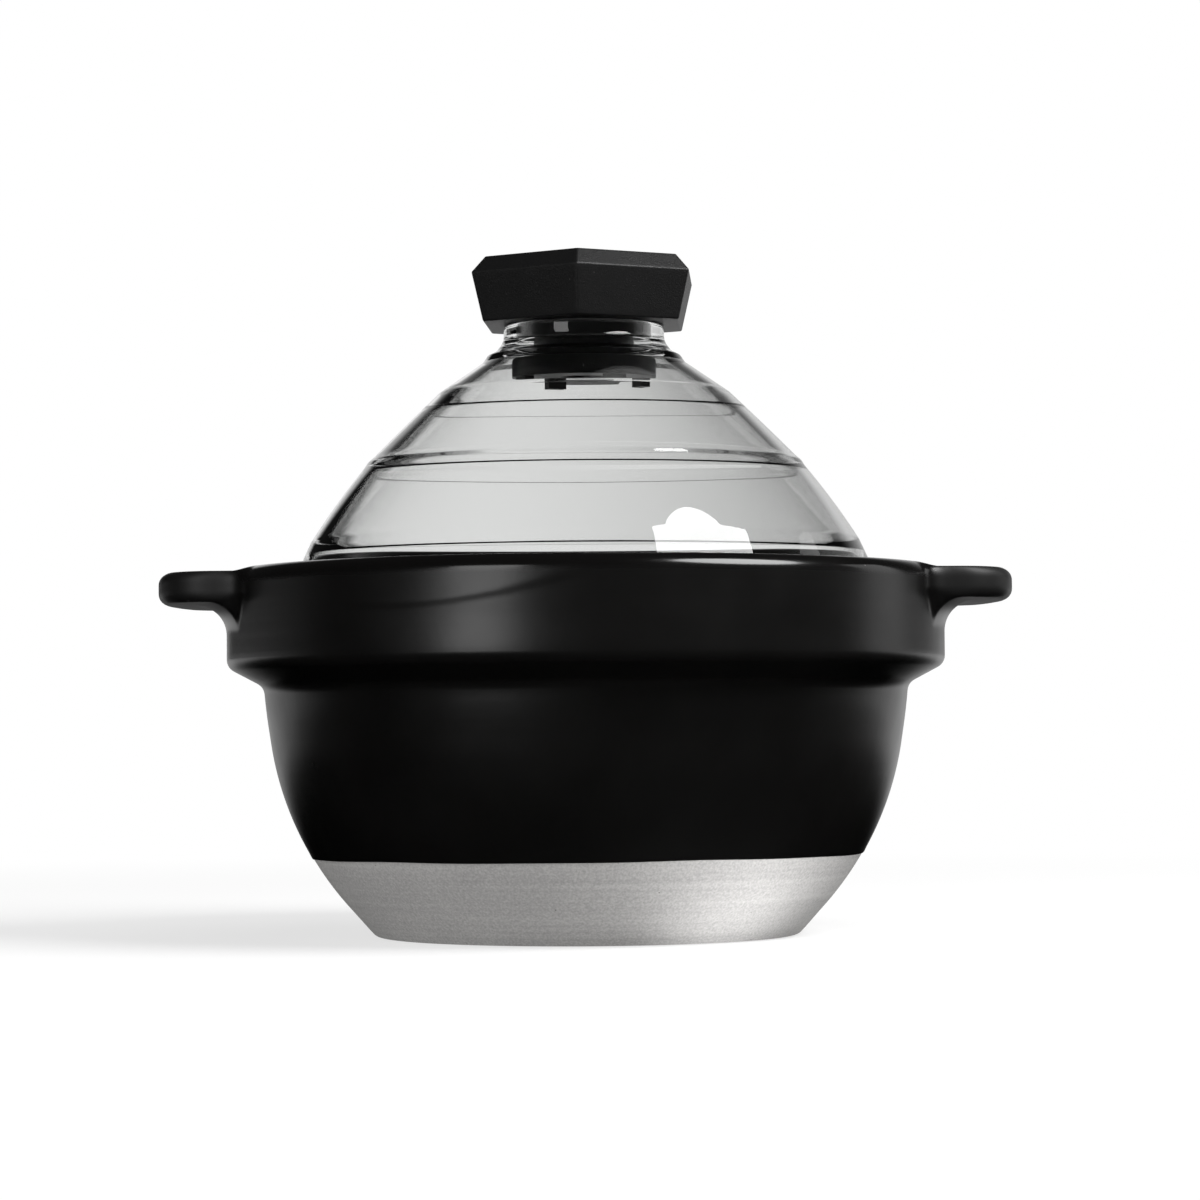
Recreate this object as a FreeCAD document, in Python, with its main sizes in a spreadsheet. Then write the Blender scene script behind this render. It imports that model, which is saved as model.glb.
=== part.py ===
# Donabe rice pot: a glazed clay pot with two ears, a stepped glass lid and a six-sided steam knob.
# Millimetres, +Z up, +X through the right-hand ear, origin at the middle of the foot.

import FreeCAD, Part
import math
import os

import Sketcher


SIZES = {
    # Pot, outside
    "rim_height": 109.0,
    "rim_flat": 1.2,
    "collar_radius": 107.0,
    "collar_height": 28.9,
    "collar_corner_round": 4.0,
    "cove_depth": 10.5,
    "cove_drop": 5.9,
    "cove_round": 4.5,
    "knee_height": 28.4,
    "knee_inset": 6.9,
    "knee_round": 93.5,
    "foot_radius": 63.0,
    "foot_edge_round": 1.6,
    "foot_ring_width": 11.5,
    "foot_recess_depth": 1.5,
    # Pot, inside
    "collar_wall": 10.0,
    "bowl_wall": 8.5,
    "inner_knee_round": 60.0,
    "floor_thickness": 10.0,
    "floor_round": 14.0,
    "ledge_depth": 25.0,
    "ledge_round": 2.0,
    # Ears
    "ear_reach": 20.0,
    "ear_thickness": 9.0,
    "ear_below_rim": 1.4,
    "ear_half_width": 40.0,
    "ear_corner_round": 15.0,
    "ear_edge_flat": 2.6,
    "ear_root_round": 9.0,
    "slip_layer": 0.15,
    # Glass lid
    "lid_play": 2.0,
    "seat_gap": 0.1,
    "lid_bead_height": 5.0,
    "lid_bead_slope": 1.6,
    "lid_bead_round": 1.0,
    "lid_bead_width": 5.0,
    "lower_ring_radius": 81.9,
    "lower_ring_rise": 26.7,
    "middle_ring_radius": 65.0,
    "middle_ring_rise": 23.3,
    "upper_ring_radius": 43.8,
    "upper_ring_rise": 20.9,
    "ring_round": 6.0,
    "inner_ledge_inset": 0.8,
    "inner_ledge_drop": 4.7,
    "inner_ledge_width": 1.5,
    "upper_ledge_reach": 2.1,
    "upper_ledge_drop": 7.4,
    "shoulder_radius": 30.6,
    "shoulder_rise": 9.4,
    "shoulder_round": 4.0,
    "inner_shoulder_inset": 6.6,
    "inner_shoulder_drop": 0.2,
    "flare_rise": 4.4,
    "flare_round": 10.0,
    "throat_drop": 2.0,
    "throat_round": 3.0,
    "neck_radius": 24.1,
    "neck_rise": 6.6,
    "neck_wall": 3.8,
    "neck_top_round": 1.0,
    # Knob cap
    "knob_height": 19.4,
    "knob_chamfer_height": 4.9,
    "knob_foot_radius": 33.5,
    "knob_shoulder_radius": 37.2,
    "knob_top_radius": 32.6,
    "knob_edge_round": 0.7,
    "knob_turned": 3.0,
    "steam_hole_radius": 3.0,
    # Vent plug
    "cap_gap": 0.1,
    "fit_clearance": 0.08,
    "plug_seat_height": 6.0,
    "plug_waist_radius": 15.0,
    "plug_waist_height": 4.4,
    "plug_lip_radius": 21.6,
    "plug_lip_height": 8.2,
    "plug_lip_slope": 1.6,
    "plug_post_radius": 14.0,
    "plug_post_height": 8.0,
    "plug_bore_radius": 7.0,
    "tab_count": 4,
    "tab_width": 6.0,
    "tab_thickness": 3.0,
    "tab_inset": 0.6,
    "tab_drop": 1.4,
    "tab_turned": 14.0,
    # Steam whistle
    "whistle_radius": 10.0,
    "whistle_depth": 5.0,
    "whistle_sheet": 0.6,
    "whistle_hole_radius": 1.5,
}


class Length:
    """A size that carries both its number and the sheet expression that it is bound to."""

    def __init__(self, value, text):
        self.value = value
        self.text = text

    def joined(self, other, sign, value):
        return Length(value, f"({self.text} {sign} {other.text})")

    def __add__(self, other):
        return self.joined(other, "+", self.value + other.value)

    def __sub__(self, other):
        return self.joined(other, "-", self.value - other.value)

    def half(self):
        return Length(self.value / 2, f"({self.text} / 2)")


class Sheet:
    """The driving sizes: one spreadsheet row each, read back by name as a Length."""

    def __init__(self, document, sizes):
        self.cells = document.addObject("Spreadsheet::Sheet", "sizes")
        for row, (name, value) in enumerate(sizes.items(), start=1):
            self.cells.set(f"A{row}", name)
            self.cells.set(f"B{row}", str(value))
            self.cells.setAlias(f"B{row}", name)
        document.recompute()

    def __getattr__(self, name):
        return Length(float(getattr(self.cells, name)), f"sizes.{name}")


document = FreeCAD.newDocument("donabe")
size = Sheet(document, SIZES)
ZERO = Length(0.0, "0")


# Drawing in a body's own planes

def origin_plane(body, role):
    return next(feature for feature in body.Origin.OriginFeatures if feature.Role == role)


def new_sketch(body, name, role, height=None, turned=None):
    sketch = body.newObject("Sketcher::SketchObject", name)
    sketch.AttachmentSupport = [(origin_plane(body, role), "")]
    sketch.MapMode = "FlatFace"
    if height is not None:
        sketch.setExpression("AttachmentOffset.Base.z", height.text)
    if turned is not None:
        sketch.setExpression("AttachmentOffset.Rotation.Angle", turned.text)
    return sketch


def bind(sketch, constraint, length):
    """Add one measured constraint and tie it to the sheet."""
    index = sketch.addConstraint(constraint)
    name = f"size_{index}"
    sketch.renameConstraint(index, name)
    sketch.setExpression(f"Constraints.{name}", length.text)


def place_point(sketch, geometry, end, across, up):
    """Fix a sketch point at a distance across and up from the sketch's origin."""
    for length, kind, axis in ((across, "DistanceX", -2), (up, "DistanceY", -1)):
        if length.value == 0.0:
            sketch.addConstraint(Sketcher.Constraint("PointOnObject", geometry, end, axis))
        else:
            bind(sketch, Sketcher.Constraint(kind, -1, 1, geometry, end, length.value), length)


# A sketch's numbers for the points of a line or an arc, two tolerances, and the helper sector of an ear
START, END, CENTRE = range(1, 4)
SAME = 1e-6
TOUCH = 0.01
CORE_ANGLE = 100.0


class Corner:
    """One corner of an outline: a radius and a height, and the round that eases it."""

    def __init__(self, radius, height, round_by=None):
        self.radius = radius
        self.height = height
        self.round_by = round_by
        self.point = FreeCAD.Vector(radius.value, height.value, 0)


class FollowingCorner:
    """A corner left where two lines meet, because those lines follow others at a wall's thickness."""

    def __init__(self, point, round_by=None):
        self.point = point
        self.round_by = round_by


def crossing(point, direction, other_point, other_direction):
    """Where two straight lines in the sketch plane meet."""
    gap = other_point - point
    turn = direction.x * other_direction.y - direction.y * other_direction.x
    along = (gap.x * other_direction.y - gap.y * other_direction.x) / turn
    return point + direction * along


def inward_line(start, end, wall):
    """The line parallel to start-end, a wall's thickness to its left."""
    direction = (end - start).normalize()
    return start + FreeCAD.Vector(-direction.y, direction.x, 0) * wall.value, direction


def draw_outline(sketch, corners, following=()):
    """Draw a closed outline of lines with eased corners.

    following lists (line, leader, wall): that line runs along its leader, a wall's thickness away.
    Lines are numbered by the corner that they start from.
    """
    count = len(corners)
    trims = []
    for index, corner in enumerate(corners):
        if corner.round_by is None:
            trims.append((corner.point, corner.point, None))
            continue
        before = (corners[index - 1].point - corner.point).normalize()
        after = (corners[(index + 1) % count].point - corner.point).normalize()
        half_angle = before.getAngle(after) / 2
        trim = corner.round_by.value / math.tan(half_angle)
        middle = (before + after).normalize()
        centre = corner.point + middle * (corner.round_by.value / math.sin(half_angle))
        nearest = centre - middle * corner.round_by.value
        trims.append((corner.point + before * trim, corner.point + after * trim, nearest))

    lines = []
    for index in range(count):
        segment = Part.LineSegment(trims[index][1], trims[(index + 1) % count][0])
        lines.append(sketch.addGeometry(segment, False))

    for index, corner in enumerate(corners):
        arriving = lines[index - 1]
        leaving = lines[index]
        entry, leave, nearest = trims[index]
        if corner.round_by is None:
            sketch.addConstraint(Sketcher.Constraint("Coincident", arriving, END, leaving, START))
            if isinstance(corner, Corner):
                place_point(sketch, leaving, START, corner.radius, corner.height)
            continue
        arc = sketch.addGeometry(Part.Arc(entry, nearest, leave), False)
        arc_starts_at_entry = sketch.getPoint(arc, START).isEqual(entry, SAME)
        entry_end, leave_end = (START, END) if arc_starts_at_entry else (END, START)
        sketch.addConstraint(Sketcher.Constraint("Tangent", arriving, END, arc, entry_end))
        sketch.addConstraint(Sketcher.Constraint("Tangent", arc, leave_end, leaving, START))
        bind(sketch, Sketcher.Constraint("Radius", arc, corner.round_by.value), corner.round_by)
        if isinstance(corner, Corner):
            mark = sketch.addGeometry(Part.Point(corner.point), True)
            sketch.addConstraint(Sketcher.Constraint("PointOnObject", mark, START, arriving))
            sketch.addConstraint(Sketcher.Constraint("PointOnObject", mark, START, leaving))
            place_point(sketch, mark, START, corner.radius, corner.height)

    for index in range(count):
        ends = corners[index], corners[(index + 1) % count]
        loose = any(isinstance(corner, FollowingCorner) for corner in ends)
        if loose and abs(ends[0].point.y - ends[1].point.y) < SAME:
            sketch.addConstraint(Sketcher.Constraint("Horizontal", lines[index]))
        if loose and abs(ends[0].point.x - ends[1].point.x) < SAME:
            sketch.addConstraint(Sketcher.Constraint("Vertical", lines[index]))

    for line, leader, wall in following:
        sketch.addConstraint(Sketcher.Constraint("Parallel", lines[leader], lines[line]))
        apart = Sketcher.Constraint("Distance", lines[line], START, lines[leader], wall.value)
        bind(sketch, apart, wall)
    return lines


def new_body(label):
    body = document.addObject("PartDesign::Body", label)
    body.Label = label
    return body


def revolve(body, sketch, name="turned", kind="PartDesign::Revolution", angle=360.0, midplane=False):
    feature = body.newObject(kind, name)
    feature.Profile = sketch
    feature.ReferenceAxis = (sketch, ["V_Axis"])
    feature.Angle = angle
    feature.Midplane = midplane
    document.recompute()
    return feature


def fillet(body, base, edges, radius, name):
    feature = body.newObject("PartDesign::Fillet", name)
    feature.Base = (base, edges)
    feature.setExpression("Radius", radius.text)
    document.recompute()
    return feature


def groove(body, name, corners):
    """Cut a ring of the given outline out of a body, all the way round Z."""
    document.recompute()
    before = body.Shape.Volume
    sketch = new_sketch(body, f"{name}_outline", "XZ_Plane")
    draw_outline(sketch, corners)
    revolve(body, sketch, name, kind="PartDesign::Groove")
    if not body.Shape.Volume < before:
        raise RuntimeError(f"{name} cuts nothing")


def turned_piece(label, corners, following=()):
    """A body of revolution about Z from one outline."""
    body = new_body(label)
    sketch = new_sketch(body, f"{label}_outline", "XZ_Plane")
    draw_outline(sketch, corners, following)
    revolve(body, sketch)
    return body


# Places that two or more pieces share

rim_round = (size.collar_wall - size.rim_flat).half()
collar_inner = size.collar_radius - size.collar_wall
ledge_height = size.rim_height - size.ledge_depth
ear_top = size.rim_height - size.ear_below_rim
ear_bottom = ear_top - size.ear_thickness

lid_radius = collar_inner - size.lid_play
lid_bottom = ledge_height + size.seat_gap
bead_top = lid_bottom + size.lid_bead_height
lower_ring = bead_top + size.lid_bead_slope + size.lower_ring_rise
middle_ring = lower_ring + size.middle_ring_rise
upper_ring = middle_ring + size.upper_ring_rise
shoulder = upper_ring + size.shoulder_rise
flare_top = shoulder + size.flare_rise
neck_top = flare_top + size.neck_rise
bore_radius = size.neck_radius - size.neck_wall

knob_foot = neck_top + size.cap_gap
knob_top = knob_foot + size.knob_height
knob_shoulder = knob_top - size.knob_chamfer_height
post_top = neck_top + size.plug_post_height


# Pot: foot, bowl, cove, collar and rim, thrown in one piece, with a ledge inside the collar for the lid

def make_pot():
    collar_bottom = size.rim_height - size.collar_height
    cove_radius = size.collar_radius - size.cove_depth
    recess_radius = size.foot_radius - size.foot_ring_width
    cove = Corner(cove_radius, collar_bottom - size.cove_drop, size.cove_round)
    knee = Corner(cove_radius - size.knee_inset, size.knee_height, size.knee_round)
    foot = Corner(size.foot_radius, ZERO, size.foot_edge_round)
    side_point, side_way = inward_line(knee.point, cove.point, size.bowl_wall)
    base_point, base_way = inward_line(foot.point, knee.point, size.bowl_wall)
    level = FreeCAD.Vector(1, 0, 0)
    ledge_point = FreeCAD.Vector(0, ledge_height.value, 0)
    floor_point = FreeCAD.Vector(0, size.floor_thickness.value, 0)

    mouth_point = crossing(side_point, side_way, ledge_point, level)
    inner_knee_point = crossing(side_point, side_way, base_point, base_way)
    floor_corner_point = crossing(base_point, base_way, floor_point, level)
    mouth = FollowingCorner(mouth_point, size.ledge_round)
    inner_knee = FollowingCorner(inner_knee_point, size.inner_knee_round)
    floor_corner = FollowingCorner(floor_corner_point, size.floor_round)
    corners = [
        Corner(ZERO, size.foot_recess_depth),
        Corner(recess_radius - size.foot_recess_depth, size.foot_recess_depth),
        Corner(recess_radius, ZERO),
        foot,
        knee,
        cove,
        Corner(size.collar_radius, collar_bottom, size.collar_corner_round),
        Corner(size.collar_radius, size.rim_height, rim_round),
        Corner(collar_inner, size.rim_height, rim_round),
        Corner(collar_inner, ledge_height, size.ledge_round),
        mouth,
        inner_knee,
        floor_corner,
        Corner(ZERO, size.floor_thickness),
    ]
    side_line = corners.index(knee)
    base_line = corners.index(foot)
    following = [
        (corners.index(mouth), side_line, size.bowl_wall),
        (corners.index(inner_knee), base_line, size.bowl_wall),
    ]
    return turned_piece("pot_body", corners, following)


# Ears: pressed clay lugs, luted to the collar with slip just under the rim

def make_ear(label, facing):
    reach_radius = size.collar_radius + size.ear_reach
    edge_round = (size.ear_thickness - size.ear_edge_flat).half()
    body = new_body(label)
    turn = FreeCAD.Rotation(FreeCAD.Vector(0, 0, 1), facing)
    body.Placement = FreeCAD.Placement(FreeCAD.Vector(), turn)

    # A stretch of collar wall to blend the ear into, taken away again below
    low = ear_bottom - size.ear_root_round - size.ear_root_round
    high = ear_top + size.ear_root_round + size.ear_root_round
    core_radius = size.collar_radius - size.ear_reach
    core = new_sketch(body, f"{label}_core", "XZ_Plane")
    draw_outline(core, [
        Corner(core_radius, low),
        Corner(size.collar_radius, low),
        Corner(size.collar_radius, high),
        Corner(core_radius, high),
    ])
    revolve(body, core, f"{label}_core_sector", angle=CORE_ANGLE, midplane=True)

    plan = new_sketch(body, f"{label}_plan", "XY_Plane", height=ear_bottom)
    draw_ear_plan(plan, reach_radius)
    ear = body.newObject("PartDesign::Pad", f"{label}_pad")
    ear.Profile = plan
    ear.setExpression("Length", size.ear_thickness.text)
    document.recompute()

    def on_collar(edge):
        return all(abs(math.hypot(v.X, v.Y) - size.collar_radius.value) < TOUCH for v in edge.Vertexes)

    def between(edge, lowest, highest):
        return all(lowest - TOUCH < v.Z < highest + TOUCH for v in edge.Vertexes)

    def outside(edge):
        middle = edge.valueAt((edge.FirstParameter + edge.LastParameter) / 2)
        return math.hypot(middle.x, middle.y) > size.collar_radius.value + TOUCH

    faces = (ear_bottom.value, ear_top.value)
    rim_edges = [f"Edge{number}" for number, edge in enumerate(ear.Shape.Edges, start=1)
                 if outside(edge) and any(between(edge, level, level) for level in faces)]
    rim = fillet(body, ear, rim_edges, edge_round, f"{label}_edge")
    root_edges = [f"Edge{number}" for number, edge in enumerate(rim.Shape.Edges, start=1)
                  if on_collar(edge) and between(edge, ear_bottom.value, ear_top.value)]
    fillet(body, rim, root_edges, size.ear_root_round, f"{label}_root")

    # The collar wall goes again, and the ear's top is cut level
    beyond = size.ear_reach
    inner_radius = size.collar_radius + size.slip_layer
    groove(body, f"{label}_back_cut", [
        Corner(ZERO, low - beyond),
        Corner(inner_radius, low - beyond),
        Corner(inner_radius, ear_top),
        Corner(reach_radius + beyond, ear_top),
        Corner(reach_radius + beyond, high + beyond),
        Corner(ZERO, high + beyond),
    ])

    # The ear laps onto the rounded rim, a layer of slip above it
    half_width = size.ear_half_width - edge_round
    lap_plan = new_sketch(body, f"{label}_lap_plan", "XY_Plane", height=ear_top)
    draw_outline(lap_plan, [
        Corner(size.collar_radius - size.ear_reach.half(), ZERO - half_width),
        Corner(size.collar_radius, ZERO - half_width),
        Corner(size.collar_radius, half_width),
        Corner(size.collar_radius - size.ear_reach.half(), half_width),
    ])
    lap = body.newObject("PartDesign::Pad", f"{label}_lap")
    lap.Profile = lap_plan
    lap.setExpression("Length", rim_round.text)
    lap.Reversed = True
    rim_top = size.rim_height + size.slip_layer
    groove(body, f"{label}_rim_cut", [
        Corner(ZERO, low - beyond),
        Corner(inner_radius, low - beyond),
        Corner(inner_radius, rim_top, rim_round + size.slip_layer),
        Corner(ZERO, rim_top),
    ])
    return body


def draw_ear_plan(sketch, reach_radius):
    """The ear from above: an arc at the tip, two rounded corners and two straight sides."""
    inner = size.collar_radius - size.ear_reach.half()
    corner_distance = reach_radius.value - size.ear_corner_round.value
    corner_up = size.ear_half_width.value - size.ear_corner_round.value
    corner_across = math.sqrt(corner_distance ** 2 - corner_up ** 2)
    tip_angle = math.asin(corner_up / corner_distance)
    flat = FreeCAD.Vector(0, 0, 1)
    origin = FreeCAD.Vector()
    tip_circle = Part.Circle(origin, flat, reach_radius.value)
    tip = sketch.addGeometry(Part.ArcOfCircle(tip_circle, -tip_angle, tip_angle), False)
    sketch.addConstraint(Sketcher.Constraint("Coincident", tip, CENTRE, -1, START))
    bind(sketch, Sketcher.Constraint("Radius", tip, reach_radius.value), reach_radius)

    inner_points = []
    for side, tip_end in ((1, END), (-1, START)):
        centre = FreeCAD.Vector(corner_across, side * corner_up, 0)
        circle = Part.Circle(centre, flat, size.ear_corner_round.value)
        span = sorted((side * tip_angle, side * math.pi / 2))
        corner = sketch.addGeometry(Part.ArcOfCircle(circle, *span), False)
        near_tip, near_side = (START, END) if side > 0 else (END, START)
        edge_height = side * size.ear_half_width.value
        outer_point = FreeCAD.Vector(corner_across, edge_height, 0)
        inner_point = FreeCAD.Vector(inner.value, edge_height, 0)
        flank = sketch.addGeometry(Part.LineSegment(outer_point, inner_point), False)
        sketch.addConstraint(Sketcher.Constraint("Tangent", tip, tip_end, corner, near_tip))
        sketch.addConstraint(Sketcher.Constraint("Tangent", corner, near_side, flank, START))
        sketch.addConstraint(Sketcher.Constraint("Horizontal", flank))
        corner_round = Sketcher.Constraint("Radius", corner, size.ear_corner_round.value)
        bind(sketch, corner_round, size.ear_corner_round)
        bind(sketch, Sketcher.Constraint("DistanceX", -1, START, flank, END, inner.value), inner)
        half_width = Sketcher.Constraint("Distance", flank, END, -1, size.ear_half_width.value)
        bind(sketch, half_width, size.ear_half_width)
        inner_points.append((flank, inner_point))

    (upper, upper_point), (lower, lower_point) = inner_points
    closing = sketch.addGeometry(Part.LineSegment(upper_point, lower_point), False)
    sketch.addConstraint(Sketcher.Constraint("Coincident", upper, END, closing, START))
    sketch.addConstraint(Sketcher.Constraint("Coincident", closing, END, lower, END))


# Glass lid: pressed in one piece, four cones under a round neck, with a thick ground edge

def make_lid():
    rings = [
        Corner(size.lower_ring_radius, lower_ring, size.ring_round),
        Corner(size.middle_ring_radius, middle_ring, size.ring_round),
        Corner(size.upper_ring_radius, upper_ring, size.ring_round),
    ]

    # The press plunger leaves a crisp level ledge inside, under each ring
    ledges = [
        (size.upper_ring_radius + size.upper_ledge_reach, upper_ring - size.upper_ledge_drop),
        (size.middle_ring_radius - size.inner_ledge_inset, middle_ring - size.inner_ledge_drop),
        (size.lower_ring_radius - size.inner_ledge_inset, lower_ring - size.inner_ledge_drop),
    ]
    inside = []
    for radius, level in ledges:
        inside.append(Corner(radius - size.inner_ledge_width, level))
        inside.append(Corner(radius, level))
    return turned_piece("lid_glass", [
        Corner(lid_radius, lid_bottom, size.lid_bead_round),
        Corner(lid_radius, bead_top, size.lid_bead_round),
        Corner(lid_radius - size.lid_bead_slope, bead_top + size.lid_bead_slope, size.lid_bead_round),
        *rings,
        Corner(size.shoulder_radius, shoulder, size.shoulder_round),
        Corner(size.neck_radius, flare_top, size.flare_round),
        Corner(size.neck_radius, neck_top, size.neck_top_round),
        Corner(bore_radius, neck_top, size.neck_top_round),
        Corner(bore_radius, flare_top - size.throat_drop, size.throat_round),
        Corner(size.upper_ring_radius - size.inner_shoulder_inset, upper_ring - size.inner_shoulder_drop),
        *inside,
        Corner(lid_radius - size.lid_bead_width, lid_bottom, size.lid_bead_round),
    ])


# Knob cap: a six-sided silicone block, drawn in towards its foot and chamfered on top, with a steam hole

def make_knob_cap():
    body = new_body("knob_cap")
    levels = [
        (knob_foot, size.knob_foot_radius),
        (knob_shoulder, size.knob_shoulder_radius),
        (knob_top, size.knob_top_radius),
    ]
    turned = ZERO - size.knob_turned
    sketches = []
    for number, (height, radius) in enumerate(levels):
        sketch = new_sketch(body, f"hexagon_{number}", "XY_Plane", height, turned)
        draw_hexagon(sketch, radius)
        sketches.append(sketch)
    document.recompute()
    block = body.newObject("PartDesign::AdditiveLoft", "knob_block")
    block.Profile = sketches[0]
    block.Sections = sketches[1:]
    block.Ruled = True
    document.recompute()

    socket_radius = size.plug_post_radius + size.fit_clearance
    socket_top = post_top + size.cap_gap
    above = knob_top + size.knob_chamfer_height
    below = knob_foot - size.knob_chamfer_height
    groove(body, "steam_passage", [
        Corner(ZERO, below),
        Corner(socket_radius, below),
        Corner(socket_radius, socket_top),
        Corner(size.steam_hole_radius, socket_top),
        Corner(size.steam_hole_radius, above),
        Corner(ZERO, above),
    ])
    return body


def draw_hexagon(sketch, radius):
    """A regular hexagon with eased corners, one of them on the sketch's downward axis."""
    flat = Length(radius.value * math.sqrt(3) / 2, f"({radius.text} * sqrt(3) / 2)")
    half = radius.half()
    places = [
        (ZERO, ZERO - radius), (flat, ZERO - half), (flat, half),
        (ZERO, radius), (ZERO - flat, half), (ZERO - flat, ZERO - half),
    ]
    draw_outline(sketch, [Corner(across, up, size.knob_edge_round) for across, up in places])


# Vent plug: silicone, pushed through the glass neck, with a lip and tabs below and a post up into the cap

def make_vent_plug():
    seat_radius = bore_radius - size.fit_clearance
    seat_bottom = neck_top - size.plug_seat_height
    lip_top = seat_bottom - size.plug_waist_height
    lip_bottom = lip_top - size.plug_lip_height
    pocket_radius = size.whistle_radius + size.fit_clearance
    pocket_floor = post_top - size.whistle_depth
    body = turned_piece("vent_plug", [
        Corner(size.plug_bore_radius, lip_bottom),
        Corner(size.plug_lip_radius, lip_bottom),
        Corner(size.plug_lip_radius, lip_top - size.plug_lip_slope),
        Corner(size.plug_waist_radius, lip_top),
        Corner(size.plug_waist_radius, seat_bottom),
        Corner(seat_radius, seat_bottom),
        Corner(seat_radius, neck_top),
        Corner(size.plug_post_radius, neck_top),
        Corner(size.plug_post_radius, post_top),
        Corner(pocket_radius, post_top),
        Corner(pocket_radius, pocket_floor),
        Corner(size.plug_bore_radius, pocket_floor),
    ])
    tab_plan = new_sketch(body, "tab_plan", "XY_Plane", lip_bottom, size.tab_turned)
    half = size.tab_width.half()
    outer = size.plug_lip_radius - size.tab_inset
    inner = outer - size.tab_thickness
    draw_outline(tab_plan, [
        Corner(inner, ZERO - half),
        Corner(outer, ZERO - half),
        Corner(outer, half),
        Corner(inner, half),
    ])
    tab = body.newObject("PartDesign::Pad", "tab")
    tab.Profile = tab_plan
    tab.setExpression("Length", size.tab_drop.text)
    tab.Reversed = True
    document.recompute()
    tabs = body.newObject("PartDesign::PolarPattern", "tabs")
    tabs.Originals = [tab]
    tabs.Axis = (tab_plan, ["N_Axis"])
    tabs.Angle = 360
    tabs.setExpression("Occurrences", size.tab_count.text)
    body.Tip = tabs
    document.recompute()
    return body


# Steam whistle: a pressed steel cup and its cover, a hole in each, held in the plug's post

def make_whistle():
    floor = post_top - size.whistle_depth
    cover_bottom = post_top - size.whistle_sheet
    cup = turned_piece("whistle_cup", [
        Corner(size.whistle_hole_radius, floor),
        Corner(size.whistle_radius, floor, size.whistle_sheet),
        Corner(size.whistle_radius, cover_bottom),
        Corner(size.whistle_radius - size.whistle_sheet, cover_bottom),
        Corner(size.whistle_radius - size.whistle_sheet, floor + size.whistle_sheet),
        Corner(size.whistle_hole_radius, floor + size.whistle_sheet),
    ])
    cover = turned_piece("whistle_cover", [
        Corner(size.whistle_hole_radius, cover_bottom),
        Corner(size.whistle_radius, cover_bottom),
        Corner(size.whistle_radius, post_top),
        Corner(size.whistle_hole_radius, post_top),
    ])
    return cup, cover


pieces = [make_pot()]
pieces.extend(make_ear(label, facing) for label, facing in (("right_handle", 0), ("left_handle", 180)))
pieces.extend([make_lid(), make_vent_plug(), *make_whistle(), make_knob_cap()])
document.recompute()

# Nothing is written unless every object is sound
for made in document.Objects:
    if "Invalid" in made.State or "Error" in made.State:
        raise RuntimeError(f"{made.Name} failed: {made.State}")
for piece in pieces:
    if piece.Shape.isNull() or not piece.Shape.isValid():
        raise RuntimeError(f"{piece.Label} has no sound shape")

os.makedirs("parts", exist_ok=True)
for piece in pieces:
    piece.Shape.exportStep(f"parts/{piece.Label}.step")
    print(f"{piece.Label}: {len(piece.Shape.Solids)} solid, {piece.Shape.Volume / 1000:.1f} cm3")
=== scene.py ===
import math
from collections import namedtuple

import bpy
from mathutils import Euler, Matrix, Vector
from mathutils.geometry import intersect_line_line


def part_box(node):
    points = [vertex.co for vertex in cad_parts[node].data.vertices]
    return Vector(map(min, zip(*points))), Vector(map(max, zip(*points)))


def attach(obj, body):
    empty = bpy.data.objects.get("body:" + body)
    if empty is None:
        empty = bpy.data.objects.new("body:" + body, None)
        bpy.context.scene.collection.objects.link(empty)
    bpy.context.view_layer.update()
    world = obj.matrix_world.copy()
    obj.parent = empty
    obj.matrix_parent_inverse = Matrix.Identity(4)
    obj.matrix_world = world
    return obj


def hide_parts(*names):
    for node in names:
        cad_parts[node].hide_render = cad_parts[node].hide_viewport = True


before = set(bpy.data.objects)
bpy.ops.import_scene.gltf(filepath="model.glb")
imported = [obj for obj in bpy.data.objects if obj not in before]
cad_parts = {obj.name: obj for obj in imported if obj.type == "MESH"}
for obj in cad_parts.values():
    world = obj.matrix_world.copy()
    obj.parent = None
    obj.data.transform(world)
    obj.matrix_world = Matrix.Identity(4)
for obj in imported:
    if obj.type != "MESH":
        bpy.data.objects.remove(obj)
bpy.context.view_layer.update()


# Pot: stoneware thrown on a wheel, with a collar, a rounded rim and a ledge inside that carries the lid. The
# two ears are pressed apart and luted on with slip, so that pot and ears share one skin. Held by its foot, it
# is dipped in black glaze, which leaves the foot as bare grey clay under a slightly wavy line.

MM = 0.001
ARC_STEP = math.radians(9)
ARC_CHORD = 1.6

pot_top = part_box("pot_body")[1] / MM
ear_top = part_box("right_handle")[1] / MM
rim_height = pot_top.z
rim_round = 4.4
collar_radius = pot_top.x
collar_depth = 28.9
collar_wall = 10.0
collar_bottom = rim_height - collar_depth
collar_bottom_round = 4.0
cove_inset = 10.5
cove_drop = 5.9
cove_round = 4.5
knee_inset = 6.9
knee_height = 28.4
knee_round = 93.5
foot_radius = 63.0
foot_round = 3.0
foot_recess = 1.5
foot_ring_inside = 51.5
seat_gap = 0.1
ledge_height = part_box("lid_glass")[0].z / MM - seat_gap
ledge_round = 2.0
bowl_wall = 8.5
inner_knee_round = 60.0
floor_height = 10.0
floor_round = 14.0
clay_rows = 16
glaze_rows = 34

Corner = namedtuple("Corner", "radius height ease bow rows", defaults=(0, 0, 1))
foot = Corner(foot_radius, 0, foot_round)
cove = Corner(collar_radius - cove_inset, collar_bottom - cove_drop, cove_round)
knee = Corner(cove.radius - knee_inset, knee_height, knee_round)


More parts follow.
